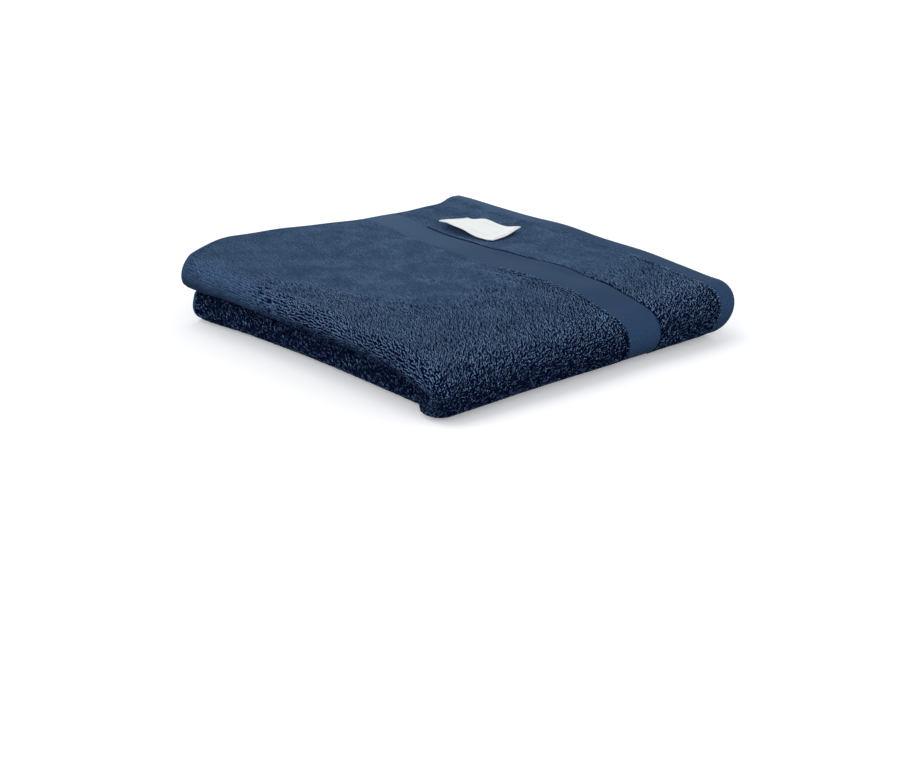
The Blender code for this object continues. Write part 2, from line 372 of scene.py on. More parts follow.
def slabCorners(rows, columns):  # quads of a closed slab: its upper grid, its lower grid and its sides
    i, j = np.meshgrid(np.arange(rows - 1), np.arange(columns - 1), indexing="ij")
    at, under = i * columns + j, rows * columns
    upper = np.stack([at, at + columns, at + columns + 1, at + 1], axis=-1).reshape(-1, 4)
    first, last = np.arange(columns - 1), np.arange(columns - 1) + (rows - 1) * columns
    left = np.arange(rows - 1) * columns
    right = left + columns - 1
    rims = [(first, first + 1), (last + 1, last), (left + columns, left), (right, right + columns)]
    sides = np.concatenate([np.stack([p, q, q + under, p + under], axis=-1) for p, q in rims])
    return upper, upper[:, ::-1] + under, sides


print("folds ready, shift", np.round(shift / mm, 2), "mm")

bloom = toLinear("a4c0d4")  # the colour that the cotton's fine fluff takes on at a slant


def bandScale(spacing):  # the Scale that sets a wave texture's bands this far apart
    return math.pi / 10 / spacing


loopsFinish = {
    "shades": [(0.0, "010a2e"), (0.5, "314764"), (1.0, "7391b4")],  # painted shade between, loops, tips rubbed and partly painted highlight
    "yarn": 1.1 * mm,  # from one yarn to the next
    "yarnShare": 0.10,  # how much shade the yarns and the patches add or take away
    "patch": 14 * mm,  # size of the soft patches that are paler or darker at random
    "patchShare": 0.16,
}


# piece-dyed ring-spun cotton, woven in loops: matt, with painted shade down between the loops, paler
# tips that are rubbed and partly a painted highlight, and a faint velvety bloom where it is seen at a
# slant
def cottonLoops():
    made, tree = newMaterial("ring-spun cotton loops")
    f = loopsFinish
    place = addNode(tree, "ShaderNodeTexCoord")
    tone = addNode(tree, "ShaderNodeAttribute", attribute_name="tone")
    grain = addNode(tree, "ShaderNodeTexNoise", {
        "Vector": place.outputs["Object"], "Scale": 1 / f["yarn"], "Detail": 1.0, "Roughness": 0.6})
    patch = addNode(tree, "ShaderNodeTexNoise", {
        "Vector": place.outputs["Object"], "Scale": 1 / f["patch"], "Detail": 3.0, "Roughness": 0.55})
    grained = addNode(tree, "ShaderNodeMath", {
        0: grain.outputs["Fac"], 1: f["yarnShare"] * 2, 2: tone.outputs["Fac"]},
        operation="MULTIPLY_ADD")
    patched = addNode(tree, "ShaderNodeMath", {
        0: patch.outputs["Fac"], 1: f["patchShare"] * 2, 2: grained.outputs[0]},
        operation="MULTIPLY_ADD")
    level = addNode(tree, "ShaderNodeMath", {
        0: patched.outputs[0], 1: f["yarnShare"] + f["patchShare"]}, operation="SUBTRACT")
    shades = addNode(tree, "ShaderNodeValToRGB", {"Fac": level.outputs[0]})
    setRamp(shades, f["shades"])
    shader = addNode(tree, "ShaderNodeBsdfPrincipled", {
        "Base Color": shades.outputs["Color"], "Roughness": 0.95, "Specular IOR Level": 0.05,
        "Sheen Weight": 0.06, "Sheen Roughness": 0.5, "Sheen Tint": bloom})
    closeMaterial(tree, shader)
    return made


flatFinish = {
    "shades": [(0.2, "1b324e"), (0.65, "243d5a"), (1.0, "3a5472")],  # between the ribs, ribs, painted highlight
    "flatHighlight": (0.28, 0.28),  # painted highlight towards the upper selvedge and round the bend
    "flatHighlightFrom": ((120 * mm, 60 * mm), (222 * mm, 248 * mm)),  # across, from where to where each grows
    "rib": 0.8 * mm,  # real ribs are 0.4 mm apart, too fine to show
    "slub": 0.9 * mm,
    "slubShare": 0.75,
    "ribDepth": 0.05 * mm,
}


# the same dyed cotton in a tight twill, for hems, bands and selvedges: smooth to the eye, with a fine
# slanting rib and a faint sheen, and a painted highlight towards the upper selvedge and round the bend
def flatWeave():
    made, tree = newMaterial("flat woven cotton twill")
    f = flatFinish
    place = addNode(tree, "ShaderNodeUVMap", uv_map="cloth")
    ribs = addNode(tree, "ShaderNodeTexWave", {
        "Vector": place.outputs["UV"], "Scale": bandScale(f["rib"]) / math.sqrt(2),
        "Distortion": 2.5, "Detail": 2.0, "Detail Scale": 2.0}, bands_direction="DIAGONAL")
    slubs = addNode(tree, "ShaderNodeTexNoise", {
        "Vector": place.outputs["UV"], "Scale": 1 / f["slub"], "Detail": 3.0})
    both = addNode(tree, "ShaderNodeMix", {
        "Factor": f["slubShare"], "A": ribs.outputs["Fac"], "B": slubs.outputs["Fac"]},
        data_type="FLOAT")
    # painted highlight, kept in the cloth's tone
    flatHighlight = addNode(tree, "ShaderNodeAttribute", attribute_name="tone")
    level = addNode(tree, "ShaderNodeMath", {0: both.outputs["Result"], 1: flatHighlight.outputs["Fac"]})
    tone = addNode(tree, "ShaderNodeValToRGB", {"Fac": level.outputs[0]})
    setRamp(tone, f["shades"])
    bump = addNode(tree, "ShaderNodeBump", {
        "Height": both.outputs["Result"], "Distance": f["ribDepth"], "Strength": 0.6})
    shader = addNode(tree, "ShaderNodeBsdfPrincipled", {
        "Base Color": tone.outputs["Color"], "Normal": bump.outputs["Normal"], "Roughness": 0.88,
        "Specular IOR Level": 0.12, "Sheen Weight": 0.08, "Sheen Roughness": 0.5, "Sheen Tint": bloom})
    closeMaterial(tree, shader)
    return made


tapeFinish = {
    "base": "ebece7",
    "line": "dadcdc",
    "thread": 0.8 * mm,  # real threads are 0.2 mm apart, too fine to show
    "threadDepth": 0.03 * mm,
    "frame": (8.0 * mm, 14.5 * mm),  # the woven border line, from the label's middle to each side
    "lineWidth": 0.35 * mm,
}


# woven polyester satin tape: bright, smooth and slightly silky, with a fine thread across it and one
# thin grey line woven in as a plain border
def satinTape():
    made, tree = newMaterial("woven satin tape")
    f = tapeFinish
    place = addNode(tree, "ShaderNodeUVMap", uv_map="cloth")
    parts = addNode(tree, "ShaderNodeSeparateXYZ", {0: place.outputs["UV"]})
    beyond = []  # how far past the border line's two pairs of sides a point is
    for axis, reach in zip("XY", f["frame"]):
        away = addNode(tree, "ShaderNodeMath", {0: parts.outputs[axis]}, operation="ABSOLUTE")
        beyond.append(addNode(tree, "ShaderNodeMath", {
            0: away.outputs[0], 1: reach}, operation="SUBTRACT"))
    edge = addNode(tree, "ShaderNodeMath", {
        0: beyond[0].outputs[0], 1: beyond[1].outputs[0]}, operation="MAXIMUM")
    near = addNode(tree, "ShaderNodeMath", {0: edge.outputs[0]}, operation="ABSOLUTE")
    line = addNode(tree, "ShaderNodeMapRange", {
        "Value": near.outputs[0], "From Min": f["lineWidth"], "From Max": f["lineWidth"] / 2,
        "To Min": 0.0, "To Max": 1.0})
    tone = addNode(tree, "ShaderNodeMix", {
        "Factor": line.outputs["Result"], "A": toLinear(f["base"]), "B": toLinear(f["line"])},
        data_type="RGBA")
    threads = addNode(tree, "ShaderNodeTexWave", {
        "Vector": place.outputs["UV"], "Scale": bandScale(f["thread"])}, bands_direction="X")
    bump = addNode(tree, "ShaderNodeBump", {
        "Height": threads.outputs["Fac"], "Distance": f["threadDepth"], "Strength": 0.5})
    shader = addNode(tree, "ShaderNodeBsdfPrincipled", {
        "Base Color": tone.outputs["Result"], "Normal": bump.outputs["Normal"], "Roughness": 0.6,
        "Sheen Weight": 0.15})
    closeMaterial(tree, shader)
    return made


threadFinish = {
    "navy": "294365",
    "white": "d8d9d8",
    "twist": 0.4 * mm,
    "twistDepth": 0.05 * mm,
}


# spun polyester sewing thread, dyed to match: a plain soft line
def sewingThread(shade):
    made, tree = newMaterial(shade + " sewing thread")
    f = threadFinish
    place = addNode(tree, "ShaderNodeTexCoord")
    twist = addNode(tree, "ShaderNodeTexNoise", {
        "Vector": place.outputs["Object"], "Scale": 1 / f["twist"]})
    bump = addNode(tree, "ShaderNodeBump", {"Height": twist.outputs["Fac"], "Distance": f["twistDepth"]})
    shader = addNode(tree, "ShaderNodeBsdfPrincipled", {
        "Base Color": toLinear(f[shade]), "Normal": bump.outputs["Normal"], "Roughness": 0.7})
    closeMaterial(tree, shader)
    return made


loopsMaterial, flatMaterial, tapeMaterial = cottonLoops(), flatWeave(), satinTape()
navyThread, whiteThread = sewingThread("navy"), sewingThread("white")
print("finishes ready")

# the cloth under the loops: ground weave, flat bands, turned hems and selvedges
ground = {
    "half": 0.70 * mm,  # half its thickness where the loops stand on it
    "brushedHalf": 1.52 * mm,  # where they are brushed flat into it
    "packedHalf": 1.80 * mm,  # where they are pressed between layers and none are made
    "selvedge": 2.4 * mm,
    "selvedgeHalf": 1.35 * mm,
    "edgeRound": 0.6 * mm,
    "flatMargin": 1.5 * mm,  # hem and selvedge keep their thickness this far into the terry
    "coverStep": 1.0 * mm,  # from no loops to all of them
    "flatBelow": 0.3,  # share of loops under which the cloth is finished as flat weave
    "rim": 10 * mm,  # how far in from the selvedge loops are made on the inner layers
    "rimFade": 1 * mm,
    "foldReach": (14 * mm, 12 * mm),  # along from the inner fold's middle, no loops and all of them
    "stationStep": (3 * mm, 6 * mm),  # on top and inside
    "acrossStep": (4 * mm, 6 * mm),
    "edgeCuts": (0.0, 0.06 * mm, 0.2 * mm, 0.4 * mm, 0.7 * mm),  # in from each edge, round its rim
    "hemCuts": (-0.8, 0.0, 0.5, 1.0),  # mm, from the hem's edge
    "bandCuts": (-1.5, -1.0, -0.5, 0.0, 0.5, 1.0, 1.5),
    "selvedgeCuts": (-0.5, 0.0, 0.5, 1.0),
    "bendHalf": 26 * mm,  # of the cloth that is cut finely round the long bend
    "bendStep": 2 * mm,
    "turnCuts": 16,
    "easing": 6 * mm,  # how far from hem and band brushed terry thins down to them
    "tone": (0.50, -0.60),  # under brushed loops, and painted shade between standing loops
}


def fromEnd(station):
    return np.minimum(station, cloth["length"] - station)


def fromEdge(across):
    return np.minimum(across, cloth["width"] - across)


def fromFlat(station):  # how far it is to the hem's or the band's edges
    s = fromEnd(station)
    return np.minimum(np.abs(s - cloth["hemDepth"]), np.minimum(
        np.abs(s - cloth["bandStart"]), np.abs(s - cloth["bandStart"] - cloth["bandDepth"])))


def terryCover(station, across):  # 1 where the cloth has loops, 0 on the hem, the band and the selvedges
    s, edge, step = fromEnd(station), fromEdge(across), ground["coverStep"]
    bandHalf = cloth["bandDepth"] / 2
    hem = ramp(s, cloth["hemDepth"], cloth["hemDepth"] + step)
    band = ramp(np.abs(s - cloth["bandStart"] - bandHalf), bandHalf, bandHalf + step)
    return hem * band * ramp(edge, ground["selvedge"], ground["selvedge"] + step)


def shown(station, across, face):  # 1 where loops are made: outside, at the rims, round the inner fold
    outside = ((face > 0) & (station <= outerEnd)).astype(float)
    rim = ramp(fromEdge(across), ground["rim"] + ground["rimFade"], ground["rim"] - ground["rimFade"])
    fold = ramp(np.abs(station - sum(innerFold) / 2), *ground["foldReach"]) * (face > 0)
    return np.maximum(outside, np.maximum(rim, fold))


# how the pile lies: brushed smooth at the back and over the loose corner, standing at the front
lie = {
    "standing": (90 * mm, 236 * mm),  # across, where it begins to stand and where it all does
    "frontShift": 84 * mm,  # how much sooner it does so behind the front fold
    "frontFrom": (170 * mm, 225 * mm),
    "hemShift": -24 * mm,  # and how much later beside the hem
    "hemFrom": (90 * mm, 60 * mm),
    "rollSmooth": (30 * mm, 130 * mm),  # across, how far the front fold's lip is smooth
    "rollMargin": 4 * mm,
    "wander": 0.16,
    "brushedWander": 0.3,  # share of it where the pile is brushed
    "wanderSize": 30 * mm,
    "patches": [  # station, across, reach along, reach across, how much more it stands; mm
        (222, 82, 8, 14, 0.35), (212, 122, 14, 26, 0.35), (226, 36, 8, 26, 0.18),
        (228, 150, 10, 20, -0.2), (99, 148, 6, 12, 0.4), (104, 186, 6, 14, 0.3),
        (141, 128, 5, 8, 0.4), (160, 66, 8, 8, 0.3), (30, 228, 18, 16, 0.3),
        (55, 170, 8, 20, -0.25), (40, 130, 20, 40, -0.25), (93, 88, 3, 6, 0.35),
        (150, 160, 22, 24, -0.25), (212, 222, 14, 22, 0.2),
    ],
    "underneath": (0.30, 0.85),  # from this far across it lies underneath, and stands this much
    "inside": (6 * mm, 0.5),  # and the same this far past the front rolls, on the inner layers
}


def napOf(station, across):  # 0 brushed flat, 1 standing
    shifted = across + lie["frontShift"] * ramp(station, *lie["frontFrom"])
    shifted = shifted + lie["hemShift"] * ramp(station, *lie["hemFrom"])
    nap = ramp(shifted, *lie["standing"])
    wander = lie["wander"] * blend(lie["brushedWander"], 1, nap)
    nap = nap + wander * drift(station, across, lie["wanderSize"], seed=23)
    nap = nap + humps(lie["patches"], station / mm, across / mm)
    onRoll = (station > panelEnd - lie["rollMargin"]) & (across < lie["rollSmooth"][1])
    nap = np.where(onRoll, nap * ramp(across, *lie["rollSmooth"]), nap)
    (underFrom, underNap), (insideFrom, insideNap) = lie["underneath"], lie["inside"]
    nap = np.where(across > underFrom, underNap, np.clip(nap, 0.0, 1.0))
    return np.where(station > rollEnd + insideFrom, insideNap, nap)


def groundHalf(station, across, face):  # half the thickness of the cloth under its loops
    g, s, edge, nap = ground, fromEnd(station), fromEdge(across), napOf(station, across)
    loops = blend(g["brushedHalf"], g["half"], nap)
    terry = blend(g["packedHalf"], loops, shown(station, across, face))
    flat = np.where(edge < g["selvedge"] + g["flatMargin"], g["selvedgeHalf"], cloth["bandThick"] / 2)
    flat = np.where(s < cloth["hemDepth"] + g["flatMargin"], cloth["hemThick"] / 2, flat)
    eased = np.maximum(nap, ramp(fromFlat(station), 0, g["easing"]))
    half = blend(flat, terry, terryCover(station, across) * eased)
    near = np.clip(np.minimum(s, edge) / g["edgeRound"], 0.0, 1.0)
    return half * np.sqrt(np.maximum(1 - (1 - near) ** 2, 0.0004))  # round at the rims, never quite 0


def finely(cuts, steps, change):  # the cuts, with even ones between them, closer before change than after
    fine = []
    for low, high in zip(cuts, cuts[1:]):
        step = steps[0] if low < change else steps[1]
        count = max(1, math.ceil((high - low) / step - 1e-6))
        fine += list(np.linspace(low, high, count, endpoint=False))
    return np.array(fine + [cuts[-1]])


def stationLines():
    zone = list(ground["edgeCuts"]) + [cloth["hemDepth"] + d * mm for d in ground["hemCuts"]]
    for edge in (cloth["bandStart"], cloth["bandStart"] + cloth["bandDepth"]):
        zone += [edge + d * mm for d in ground["bandCuts"]]
    cuts = set(np.round(zone, 6)) | {round(cloth["length"] - c, 6) for c in zone}
    cuts |= set(np.round(legStarts[1:-1], 6))
    for i in turns:
        cuts |= set(np.round(np.linspace(legStarts[i], legStarts[i + 1], ground["turnCuts"] + 1), 6))
    return finely(sorted(cuts), ground["stationStep"], rollEnd)


def acrossLines():
    rim = list(ground["edgeCuts"]) + [ground["selvedge"] + d * mm for d in ground["selvedgeCuts"]]
    half, reach = cloth["width"] / 2, ground["bendHalf"]
    bend = list(np.linspace(half - reach, half + reach, round(2 * reach / ground["bendStep"]) + 1))
    cuts = set(np.round(rim + bend, 6)) | {round(cloth["width"] - c, 6) for c in rim}
    return finely(sorted(cuts), ground["acrossStep"], half)


def makeCloth():
    stations, acrosses = stationLines(), acrossLines()
    rows, columns = len(stations), len(acrosses)
    s, a = (g.ravel() for g in np.meshgrid(stations, acrosses, indexing="ij"))
    faces = [foldCloth(s, a, face * groundHalf(s, a, face)) for face in (1, -1)]
    upper, lower, sides = slabCorners(rows, columns)
    # painted highlight on the flat weave, by how far across it lies
    flatHighlights = zip(flatFinish["flatHighlight"], flatFinish["flatHighlightFrom"])
    flatHighlight, cover = sum(share * ramp(a, *reach) for share, reach in flatHighlights), terryCover(s, a)
    # the ground between standing loops takes painted shade from its tone
    tone = np.where(cover < ground["flatBelow"], flatHighlight, blend(*ground["tone"], napOf(s, a)))
    made = meshFrom("clothGround", np.concatenate(faces), np.concatenate([upper, lower, sides]), 4,
                    np.tile(np.stack([s, a], axis=-1), (2, 1)), np.tile(tone, 2))
    for material in (loopsMaterial, flatMaterial):
        made.data.materials.append(material)
    flat = cover[upper].mean(axis=1) < ground["flatBelow"]
    flat = np.concatenate([flat, flat, np.ones(len(sides), dtype=bool)])
    made.data.polygons.foreach_set("material_index", flat.astype(np.int32))
    print("cloth", rows, "x", columns, "lines,", 2 * len(made.data.polygons), "triangles")
    return made


clothPiece = makeCloth()

# the pile, one small loop of yarn after another; real loops are finer and closer, too many to make.
# Pairs are for brushed and for standing loops
pile = {
    "gap": (1.1 * mm, 1.25 * mm),  # from loop to loop
    "scatter": 0.25,  # how far a loop may be from its place in the row, of that gap
    "change": (0.25, 0.70),  # how brushed the pile is where the one spacing gives way to the other
    "cover": 0.6,  # loops are made where the cloth is more than this terry
    "reach": (3.3 * mm, 1.4 * mm),  # of a loop along its lean
    "height": (0.38 * mm, 1.3 * mm),  # over the ground
    "yarn": (0.38 * mm, 0.36 * mm),  # half the loop's width
    "reachSpread": (0.75, 1.25),  # how much these three differ from loop to loop
    "heightSpread": (0.86, 1.08),
    "yarnSpread": (0.85, 1.15),
    "easedHeight": 0.5,  # of brushed loops beside hem and band
    "depth": (0.40, 0.90),  # of a loop as a share of its width
    "rounding": (0.25, 1.0),  # how much of its own rounding shows in its shading
    "jitter": (0.08, 0.25),  # how much the loops' directions differ
    "bendFrom": (205 * mm, 240 * mm),  # across, where the long bend begins to tell
    "bendJitter": 0.30,  # how much more the directions differ there
    # stronger contrast there also deepens the loops' painted shade and highlight
    "bendContrast": 0.80,  # and how much more the shades do
    "streak": 1.7 * mm,  # the pile lies in streaks, this far apart
    "streakLength": 7 * mm,
    "streakEdge": (0.34, 0.66),  # of the noise that makes them
    # between the streaks the loops are lower, and darker with painted shade
    "streakHeight": (0.15, 0.08),  # how much lower and darker the loops between the streaks are
    "streakTone": (0.10, 0.02),
    "streakMiddle": 0.65,
    "comb": (80, 68, 50),  # degrees from the cloth's length: at the back, in front, on the long bend
    "combFrom": ((90 * mm, 200 * mm), (215 * mm, 240 * mm)),  # across, from each to the next
    "combWander": 10,
    "combWanderSize": 45 * mm,
    "edgeTurn": (4.5 * mm, 0.3 * 4.5 * mm),  # this near hem, band and selvedge they lean out over them
    # painted shade at a loop's root and sides; its back and tip are rubbed and partly painted highlight
    "tone": (-0.80, 1.10, -0.45, 1.0),  # at a loop's root, on its back, on its sides and at its tip
    "toneMiddle": 0.52,  # which the shades draw towards where the pile is brushed
    "toneJitter": (0.14, 0.30),  # from loop to loop on the top and on the long bend
    "brushedTone": 0.20,  # share of those differences that is left where the pile is brushed
    "toneCurve": 1.6,  # above 1 they stay small until the pile all but stands
    "outermost": (12 * mm, 6 * mm),  # past the front rolls, where what is said of the outside ends
}

strandForm = {  # a strand is a bent spindle; its points lie at shares of its reach and of its height
    "root": (-0.15, -0.35),
    "rings": ((0.16, 0.62), (0.76, 0.58)),
    "tip": (1.0, -0.05),
    "sideDrop": 0.6,  # how far its sides hang below its middle, of its half depth
}


def outermost(s):  # 1 on the label's panel and the front rolls, 0 on the layers inside
    return ramp(s, *(rollEnd + past for past in pile["outermost"]))


def combOf(station, across):  # the direction in which the loops lean
    back, front, bend = pile["comb"]
    toFront, toBend = (ramp(across, *reach) for reach in pile["combFrom"])
    degrees = blend(back, front, toFront) + (bend - front) * toBend
    degrees = degrees + pile["combWander"] * drift(station, across, pile["combWanderSize"], seed=5)
    s, turn = fromEnd(station), pile["edgeTurn"]
    toFlat = np.abs(s - cloth["bandStart"] - cloth["bandDepth"])
    toFlat = np.minimum(np.abs(s - cloth["hemDepth"]), toFlat)
    degrees = blend(degrees, 180, ramp(toFlat, *turn))
    return np.radians(blend(degrees, -90, ramp(across, *turn)))


def lattice(s, a, size):  # smooth noise from 0 to 1, its grains as large as size
    i, j = np.floor(s / size), np.floor(a / size)
    u, v = ramp(s / size - i, 0, 1), ramp(a / size - j, 0, 1)

    def grain(m, n):  # scrambles a grain's row and column, the same way each time
        return np.modf(np.abs(np.sin(m * 127.1 + n * 311.7) * 43758.5453))[0]

    low, high = (blend(grain(i, n), grain(i + 1, n), u) for n in (j, j + 1))
    return blend(low, high, v)


def streaks(s, a):  # 1 on the pile's streaks and 0 between them; they run the way it is combed
    comb, total = combOf(s, a), 0
    steps = np.linspace(-0.5, 0.5, 9) * pile["streakLength"]
    for step in steps:
        total = total + lattice(s + step * np.cos(comb), a + step * np.sin(comb), pile["streak"])
    return ramp(total / len(steps), *pile["streakEdge"])


def strands(name, at, thick, tone, material, face=1, shading=None):
    # three-sided spindles; at(along, up, sideways) places their points, thick is half their depth as a
    # share of their height, tone has their shade at root, back, sides and tip, and shading has the
    # cloth's normal and how much of a strand's own rounding is seen
    form, drop = strandForm, -strandForm["sideDrop"] * thick
    rings = [at(middle, up + lift, side) for middle, up in form["rings"]
             for lift, side in ((thick, 0), (drop, 1), (drop, -1))]
    points = np.stack([at(*form["root"], 0), *rings, at(*form["tip"], 0)], axis=1)
    count, perStrand = points.shape[:2]
    shape = []
    for k in range(3):  # the root is point 0, the rings are 1 to 3 and 4 to 6, the tip is 7
        n = (k + 1) % 3
        shape += [(0, 1 + k, 1 + n), (1 + k, 4 + k, 4 + n), (1 + k, 4 + n, 1 + n), (4 + k, 7, 4 + n)]
    corners = np.array(shape)[None] + perStrand * np.arange(count)[:, None, None]
    if face < 0:
        corners = corners[..., ::-1]
    root, back, sides, tip = tone
    shades = np.stack([root, back, sides, sides, back, sides, sides, tip], axis=1)
    made = meshFrom(name, points.reshape(-1, 3), corners, 3, tone=shades.ravel())
    made.data.materials.append(material)
    if shading is not None:
        upright, rounding = (np.repeat(g, perStrand, axis=0) for g in shading)
        own = np.zeros((count * perStrand, 3), dtype=np.float32)
        made.data.vertex_normals.foreach_get("vector", own.ravel())
        own = blend(upright, own, rounding[:, None])
        made.data.normals_split_custom_set_from_vertices(own / np.linalg.norm(own, axis=-1)[:, None])
    print(name, count, "strands,", len(made.data.polygons), "triangles")
    return made


def scatter(stations, acrosses, spread):  # brushed loops lie close together, standing ones further apart
    spots = []
    for gap, standing in zip(pile["gap"], (False, True)):
        rows, columns = np.arange(*stations, gap * spread), np.arange(*acrosses, gap * spread)
        s, a = (g.ravel() for g in np.meshgrid(rows, columns, indexing="ij"))
        s = s + pile["scatter"] * dice.uniform(-1, 1, s.size) * gap
        a = a + pile["scatter"] * dice.uniform(-1, 1, a.size) * gap
        here = dice.uniform(0, 1, s.size) < ramp(napOf(s, a), *pile["change"])
        kept = (terryCover(s, a) > pile["cover"]) & (here == standing)
        spots.append((s[kept], a[kept]))
    return (np.concatenate(parts) for parts in zip(*spots))


# painted shade on the lower front roll and under the long bend, where the folds open the pile,
# and a painted highlight along the front fold's lip
paintedFoldShading = {
    "roll": 0.44,  # how much painted shade darkens the lower front roll
    "rollFrom": (-2 * mm, 3 * mm),  # past the label's panel, below the middle of the long bend
    "rollLower": 4 * mm,  # past the middle of the rolls
    "bend": 0.46,  # how much painted shade darkens it under the long bend
    "bendFrom": (232 * mm, 256 * mm),  # across, from nothing to full, and from full back to nothing
    "bendPast": (300 * mm, 280 * mm),
    "lip": 0.18,  # how much a painted highlight pales it along the front fold
    "lipAt": 6 * mm,  # past the label's panel
    "lipReach": (7 * mm, 3 * mm),
    "middle": (246 * mm, 254 * mm),  # across, from the upper to the lower half of the long bend
}


def paintedFoldShadingOf(s, a):  # how much a painted highlight pales the pile or, below 0, painted shade darkens it
    o, middle = paintedFoldShading, (panelEnd + rollEnd) / 2
    upper, lower = o["middle"]
    roll = ramp(s, panelEnd + o["rollFrom"][0], panelEnd + o["rollFrom"][1]) * ramp(a, upper, lower)
    roll = np.maximum(roll, ramp(s, middle, middle + o["rollLower"]))
    bend = ramp(a, *o["bendFrom"]) * ramp(a, *o["bendPast"])
    lip = ramp(np.abs(s - panelEnd - o["lipAt"]), *o["lipReach"]) * ramp(a, lower, upper)
    return (o["lip"] * lip - np.maximum(o["roll"] * roll, o["bend"] * bend)) * outermost(s)


def growLoops(name, s, a, face=1):
    count, nap = len(s), napOf(s, a)

    def lying(key):  # between a brushed loop's value and a standing one's, as the pile lies
        return blend(*pile[key], nap)

    turned = ramp(a, *pile["bendFrom"]) * outermost(s)
    comb = combOf(s, a) + (lying("jitter") + pile["bendJitter"] * turned) * dice.normal(0, 1, count)
    streak = streaks(s, a)
    forward = np.stack([np.cos(comb), np.sin(comb)], axis=-1)
    side = np.stack([-np.sin(comb), np.cos(comb)], axis=-1)
    reach = lying("reach") * dice.uniform(*pile["reachSpread"], count)
    lower = lying("streakHeight") * (1 - streak)
    tall = lying("height") * (1 - lower) * dice.uniform(*pile["heightSpread"], count)
    eased = blend(pile["easedHeight"], 1, ramp(fromFlat(s), 0, ground["easing"]))
    tall = tall * np.maximum(nap, eased)
    yarn = lying("yarn") * dice.uniform(*pile["yarnSpread"], count)
    base = groundHalf(s, a, face)

    def at(along, up, sideways):
        p = forward * (along * reach)[:, None] + side * (sideways * yarn)[:, None]
        return foldCloth(s + p[:, 0], a + p[:, 1], face * (base + up * tall))

    own = blend(*pile["toneJitter"], turned) * dice.normal(0, 1, count)
    # the folds' painted shade and highlight join the loop's own shade
    own = own + lying("streakTone") * (streak - pile["streakMiddle"]) + paintedFoldShadingOf(s, a)
    contrast = blend(pile["brushedTone"], 1, nap ** pile["toneCurve"])
    contrast = contrast + pile["bendContrast"] * turned * nap
    middle = pile["toneMiddle"]
    tone = [middle + (level - middle + own) * contrast for level in pile["tone"]]
    upright = face * (foldCloth(s, a, face * base + 1 * mm) - foldCloth(s, a, face * base - 1 * mm))
    upright = upright / np.maximum(np.linalg.norm(upright, axis=-1), 1e-9)[:, None]
    thick, shading = yarn * lying("depth") / tall, (upright, lying("rounding"))
    return strands(name, at, thick, tone, loopsMaterial, face, shading)


def zoneLoops(name, stations, acrosses, face=1, spread=1.0, keep=None):
    s, a = scatter(stations, acrosses, spread)
    if keep is not None:
        kept = keep(s, a)
        s, a = s[kept], a[kept]
    return growLoops(name, s, a, face)


zones = {  # the pile is made in pieces, so that none is too heavy
    "hemSide": 0.112,  # station, as far as the piece beside the hem goes
    "middle": 0.105,  # across, as far as the piece on the top's middle goes
    "bendMargin": (4 * mm, 12 * mm),  # the long bend's piece goes past its arc, above and underneath
    "rollMargin": 2 * mm,  # and the rolls' piece begins before they do
    "foldMargin": 6 * mm,
    "lowerRim": 0.4,  # across, past which the outer face's rim is the lower one
    "rimSpread": 1.1,  # how much further apart the loops at the rims are
}

bendStart = cloth["width"] / 2 - bendArc - zones["bendMargin"][0]
bendEnd = cloth["width"] / 2 + bendArc + zones["bendMargin"][1]
rollStart, rimReach, rimSpread = panelEnd - zones["rollMargin"], ground["rim"], zones["rimSpread"]
length, width = cloth["length"], cloth["width"]
foldStart, foldEnd = innerFold[0] - zones["foldMargin"], innerFold[1] + zones["foldMargin"]


def atRim(s, a):
    return fromEdge(a) < rimReach - ground["rimFade"]


def atRimLeft(s, a):  # the rims of the outer face that the other pieces don't cover
    return atRim(s, a) & ((s > outerEnd) | ((a > zones["lowerRim"]) & (s < rollStart)))


pilePieces = [
    zoneLoops("pileHemSide", (0.0, zones["hemSide"]), (0.0, bendStart)),
    zoneLoops("pileMiddle", (zones["hemSide"], rollStart), (0.0, zones["middle"])),
    zoneLoops("pileFront", (zones["hemSide"], rollStart), (zones["middle"], bendStart)),
    zoneLoops("pileBend", (0.0, rollStart), (bendStart, bendEnd)),
    zoneLoops("pileRolls", (rollStart, outerEnd), (0.0, width)),
    zoneLoops("pileRims", (0.0, length), (0.0, width), 1, rimSpread, atRimLeft),
    zoneLoops("pileRimsBehind", (0.0, length), (0.0, width), -1, rimSpread, atRim),
    zoneLoops("pileInnerFold", (foldStart, foldEnd), (rimReach, width - rimReach)),
]

# the lock stitches that hold the turned hems
stitching = {
    "hems": {"LabelHem": 10.6 * mm, "InnerHem": cloth["length"] - 10.6 * mm},  # station of each row
    "margin": 2 * mm,
    "pitch": 3.2 * mm,
    "jitter": 0.1 * mm,
    "length": 2.5 * mm,
    "thread": 0.2 * mm,
    "height": 0.12 * mm,
    "tone": 0.5,
}


def makeStitches():
    t, made = stitching, []
    row = np.arange(t["margin"], cloth["width"] - t["margin"], t["pitch"])
    rows = [(hem + behind, station, face) for hem, station in t["hems"].items()
            for behind, face in (("", 1), ("Behind", -1))]
    for name, station, face in rows:
        s, a = np.full(row.size, station), row + t["jitter"] * dice.normal(0, 1, row.size)
        half = groundHalf(s, a, face)

        def at(along, up, sideways):
            out = face * (half + up * t["height"])
            return foldCloth(s + sideways * t["thread"], a + along * t["length"], out)

        thick, tone = np.full(row.size, t["thread"] / t["height"]), [np.full(row.size, t["tone"])] * 4
        made.append(strands("stitches" + name, at, thick, tone, navyThread, -face))
    return made


